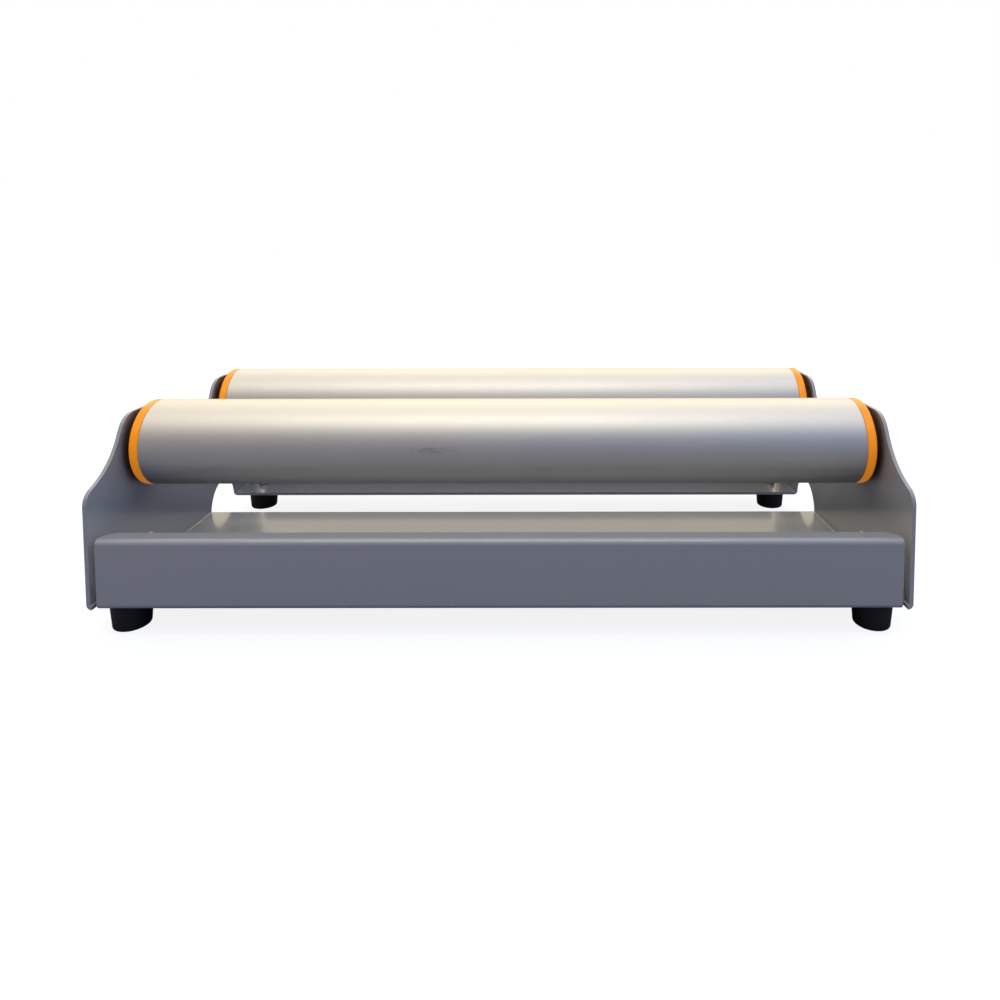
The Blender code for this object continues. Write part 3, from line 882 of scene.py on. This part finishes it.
def button_screw(name, sizes):
    """Domed socket screw; the top of its head is at height 0."""
    head, height, socket = sizes["head"], sizes["height"], sizes["socket"]
    flat = head * DOME_FLAT
    corners = [(0, 0, 0)]
    for step in range(DOME_STEPS + 1):
        angle = math.pi / 2 * (1 - step / DOME_STEPS) * DOME_SHARE
        corners.append((flat + (head - flat) * math.cos(angle), height * (math.sin(angle) - 1), 0))
    corners.append((head, -height, METAL_EDGE / 2))
    corners += threaded(sizes["shank"], -height, -height - sizes["length"])
    item = turned(name, soften(corners, closed=False), AROUND_SMALL, closed=False)
    key = round_bar(name + "_socket", socket, height * SOCKET_DEPTH, 6, (0, 0, 0))
    combine(item, key)
    return finished_mesh(item, [key], sharp=32)


def hex_nut():
    """Nut with chamfered corners and bore; its outer face is at height 0."""
    middle = -NUT_THICK / 2
    item = round_bar("nut", NUT_CORNERS, NUT_THICK, 6, (0, 0, middle))
    across = NUT_CORNERS * math.cos(math.pi / 6)
    slope = (NUT_CORNERS - across) * NUT_SLOPE
    flat = across * NUT_FLAT
    barrel = turned("nut_barrel", [(0, 0), (flat, 0), (NUT_CORNERS, -slope),
                                   (NUT_CORNERS, slope - NUT_THICK),
                                   (flat, -NUT_THICK), (0, -NUT_THICK)],
                    AROUND_SMALL, closed=False)
    bore = round_bar("nut_bore", NUT_BORE, 2 * NUT_THICK, AROUND_SMALL, (0, 0, middle))
    combine(item, barrel, "INTERSECT")
    combine(item, bore)
    round_edges(item, METAL_EDGE / 2)
    mesh = finished_mesh(item, [barrel, bore], sharp=40)
    mesh.transform(Matrix.Translation((0, 0, middle)))
    return mesh


def make_fastenings(zinc):
    spacer_size = box_size("axle_spacer_front_left")
    spacer = ring("spacer", SPACER_BORE, spacer_size.z / 2, -spacer_size.x, 0,
                  METAL_EDGE, AROUND_SMALL)
    washer_size = box_size("axle_washer_front_left")
    washer = ring("washer", WASHER_BORE, washer_size.z / 2, -washer_size.x, 0,
                  METAL_EDGE, AROUND_SMALL)
    axle_screw = button_screw("axle_screw", AXLE_SCREW)
    foot_screw = button_screw("foot_screw", FOOT_SCREW)
    side_screw = button_screw("side_screw", SIDE_SCREW)
    nut = hex_nut()

    def fit(node, mesh, facing):
        stand_for(node, mesh, zinc, box_face(node, facing), facing)

    for row, label in CORNERS:
        corner = "%s_%s" % (row, label)
        outside = outward(SIDES[label])
        fit("axle_spacer_" + corner, spacer, outside)
        fit("axle_washer_" + corner, washer, outside)
        fit("axle_screw_" + corner, axle_screw, outside)
        fit("foot_screw_" + corner, foot_screw, BELOW)
        fit("foot_nut_" + corner, nut, ABOVE)
    for label, side in SIDES.items():
        fit("side_screw_" + label, side_screw, outward(-side))
        fit("side_nut_" + label, nut, outward(side))


# ------------------------------------------------------------------------ feet

def make_feet(rubber):
    """Tapered rubber feet with a screw recess below; the sole is at height 0."""
    bore = FOOT_SCREW["shank"] + GAP
    corners = [(FOOT_TOP, FOOT_HEIGHT, METAL_EDGE), (FOOT_BASE, 0, FOOT_EDGE),
               (FOOT_RECESS, 0, 2 * METAL_EDGE), (FOOT_RECESS, FOOT_RECESS_DEPTH, METAL_EDGE),
               (bore, FOOT_RECESS_DEPTH, METAL_EDGE), (bore, FOOT_HEIGHT, METAL_EDGE)]
    foot = finished_mesh(turned("foot", soften(corners, steps=7), AROUND_FOOT))
    for row, label in CORNERS:
        node = "foot_%s_%s" % (row, label)
        stand_for(node, foot, rubber, box_face(node, BELOW))


def finish_inner_pieces(zinc, steel):
    """Pieces that keep their CAD shape: axles, and the bearings inside the caps."""
    for name, node in frame["nodes"].items():
        if name.endswith("_axle"):
            node.material_slots[0].material = zinc
        elif name.startswith("bearing_"):
            node.material_slots[0].material = steel


# ---------------------------------------------------------------------- studio

CAMERA_SPOT = (0.0324, -0.5639, 0.2481)
CAMERA_DOWN = 0.061
CAMERA_LEAN = 0.0022
CAMERA_LENS = 25.2
CAMERA_FILM = 36
CAMERA_SHIFT = (-0.048, -0.2085)
SOFTBOX_SIZE = (3.6, 4.0)
SOFTBOX_SPOT = (0.1, 0.3, 1.5)
SOFTBOX_GLOW = 0.62
SOFTBOX_COLOUR = (1.0, 0.95, 0.78)
LAMP_GLOW = 7.5
LAMP_SIZE = (1.2, 0.14)
LAMP_SPOT = (-0.12, -0.54, 1.4)
LAMP_COLOUR = (1.0, 0.93, 0.74)
ROOM_LEFT = (0.31, 0.265, 0.24, 1)
ROOM_RIGHT = (0.175, 0.265, 0.5, 1)
FAR_WALL = (0.88, 0.77, 0.56)
WHITE = (1, 1, 1, 1)
FLOOR_COLOUR = (0.2, 0.215, 0.26, 1)
FLOOR_SIZE = 8
FLOOR_NEAR = 0.22
FLOOR_FAR = 0.9
FLOOR_GLOW = 0.87
HORIZON_GLOW = 1.15


def make_camera():
    camera = bpy.data.objects.new("camera", bpy.data.cameras.new("camera"))
    bpy.context.scene.collection.objects.link(camera)
    camera.location = CAMERA_SPOT
    camera.rotation_euler = (math.pi / 2 - CAMERA_DOWN, CAMERA_LEAN, CAMERA_LEAN)
    camera.data.sensor_width = CAMERA_FILM
    camera.data.lens = CAMERA_LENS
    camera.data.shift_x, camera.data.shift_y = CAMERA_SHIFT
    camera.data.clip_start = 0.01
    bpy.context.scene.camera = camera


def make_lamp(name, size, spot, glow, colour):
    """Flat light that faces down and is not itself seen."""
    light = bpy.data.lights.new(name, "AREA")
    light.shape = "RECTANGLE"
    light.size, light.size_y = size
    light.energy = glow * math.pi * size[0] * size[1]
    light.color = colour
    lamp = bpy.data.objects.new(name, light)
    bpy.context.scene.collection.objects.link(lamp)
    lamp.location = spot
    lamp.visible_camera = False


def make_room():
    """White surroundings to look at; a dim room for the object to reflect."""
    world = bpy.data.worlds.new("room")
    world.use_nodes = True
    tree = world.node_tree
    tree.nodes.clear()
    toward = add(tree, "SeparateXYZ", in0=add(tree, "TexCoord").outputs["Generated"])
    right = ramp(tree, toward.outputs["X"], -0.5, 0.5)
    behind = ramp(tree, toward.outputs["Y"], 0.1, 0.8)
    front = blend(tree, right, ROOM_LEFT, ROOM_RIGHT)
    raised = ramp(tree, toward.outputs["Z"], 0.08, 0.3, 0.5, 1.4)
    far_wall = add(tree, "VectorMath", {"operation": "SCALE"}, in0=FAR_WALL, Scale=raised)
    dim = blend(tree, behind, front, far_wall.outputs[0])
    seen = add(tree, "LightPath").outputs["Is Camera Ray"]
    shown = blend(tree, seen, dim, WHITE)
    glow = add(tree, "Background", Color=shown)
    out = add(tree, "OutputWorld")
    tree.links.new(glow.outputs[0], out.inputs["Surface"])
    bpy.context.scene.world = world


def make_floor():
    """Pale sweep that the feet stand on."""
    mesh = bpy.data.meshes.new("studio_floor")
    shape = bmesh.new()
    bmesh.ops.create_grid(shape, x_segments=1, y_segments=1, size=FLOOR_SIZE)
    shape.to_mesh(mesh)
    shape.free()
    floor = workpiece("studio_floor", mesh)
    material, tree, shader = new_material("pale studio floor")
    grain = use(tree, GROUPS["cloudy"], Colour=FLOOR_COLOUR, Depth=0.01,
                Patch_Scale=4.0, Speck_Scale=300.0)["Colour"]
    tree.links.new(grain, shader["Base Color"])
    shader["Roughness"].default_value = 0.9
    shader["Specular IOR Level"].default_value = 0.0
    # Painted light: the floor glows for the camera only, less near the object and more towards the
    # horizon
    shader["Emission Color"].default_value = WHITE
    away = add(tree, "VectorMath", {"operation": "LENGTH"}, in0=local_place(tree))
    glow = ramp(tree, away.outputs["Value"], FLOOR_NEAR, FLOOR_FAR, FLOOR_GLOW, HORIZON_GLOW)
    seen = add(tree, "LightPath").outputs["Is Camera Ray"]
    tree.links.new(number(tree, "MULTIPLY", seen, glow), shader["Emission Strength"])
    mesh.materials.append(material)


# -------------------------------------------------------------------- assembly


make_camera()
make_lamp("softbox", SOFTBOX_SIZE, SOFTBOX_SPOT, SOFTBOX_GLOW, SOFTBOX_COLOUR)
make_lamp("ceiling_lamp", LAMP_SIZE, LAMP_SPOT, LAMP_GLOW, LAMP_COLOUR)
make_room()
make_floor()
bpy.context.scene.view_settings.view_transform = "Standard"

ZINC = plated_steel()
make_chassis(powder_coat())
make_rollers(drawn_aluminium(), moulded_orange())
make_fastenings(ZINC)
make_feet(foot_rubber())
finish_inner_pieces(ZINC, ground_steel())
